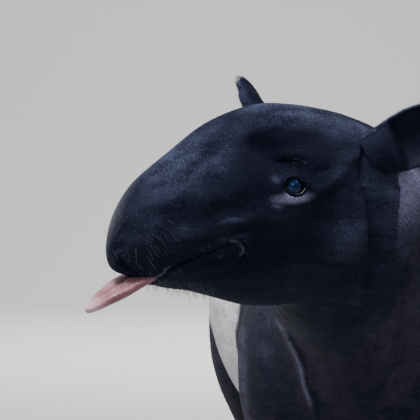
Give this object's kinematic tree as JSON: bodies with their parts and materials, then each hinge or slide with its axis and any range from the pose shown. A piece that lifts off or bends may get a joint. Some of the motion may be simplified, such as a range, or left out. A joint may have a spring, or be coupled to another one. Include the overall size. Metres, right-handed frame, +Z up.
{
  "type": "malayan tapir, standing still model",
  "caption": "Life-size malayan tapir standing on four feet, black with a pale saddle, head turned to its right and tongue out.",
  "frame": {"origin": "middle of the box, on the floor under the soles", "axes": "+X the way the trunk faces, +Y the animal's left, +Z up"},
  "size_m": [1.8286, 0.7696, 1.1557],
  "materials": {
    "black_coat": "short flat black fur with a faint bluish purple sheen",
    "pale_coat": "short flat greyish white fur",
    "hoof_horn": "dark horn, dull and faintly ringed",
    "eye": "wet, dark, with a bluish sheen",
    "tongue": "moist mauve pink with fine papillae"
  },
  "bodies": {
    "root": {"eye_left": "eye", "ear_left": "black_coat", "eye_right": "eye", "ear_right": "black_coat", "leg_front_left_upper": "black_coat", "leg_front_left_lower": "black_coat", "foot_front_left": "black_coat", "hoof_front_left_1": "hoof_horn", "hoof_front_left_2": "hoof_horn", "hoof_front_left_3": "hoof_horn", "hoof_front_left_4": "hoof_horn", "leg_front_right_upper": "black_coat", "leg_front_right_lower": "black_coat", "foot_front_right": "black_coat", "hoof_front_right_1": "hoof_horn", "hoof_front_right_2": "hoof_horn", "hoof_front_right_3": "hoof_horn", "hoof_front_right_4": "hoof_horn", "leg_hind_left_upper": "black_coat", "leg_hind_left_lower": "black_coat", "foot_hind_left": "black_coat", "hoof_hind_left_1": "hoof_horn", "hoof_hind_left_2": "hoof_horn", "hoof_hind_left_3": "hoof_horn", "leg_hind_right_upper": "black_coat", "leg_hind_right_lower": "black_coat", "foot_hind_right": "black_coat", "hoof_hind_right_1": "hoof_horn", "hoof_hind_right_2": "hoof_horn", "hoof_hind_right_3": "hoof_horn", "torso_saddle": "pale_coat", "torso_shoulders": "black_coat", "neck": "black_coat", "head": "black_coat", "proboscis": "black_coat", "lower_jaw": "black_coat", "tongue": "tongue", "tail": "black_coat"}
  },
  "joints": []
}
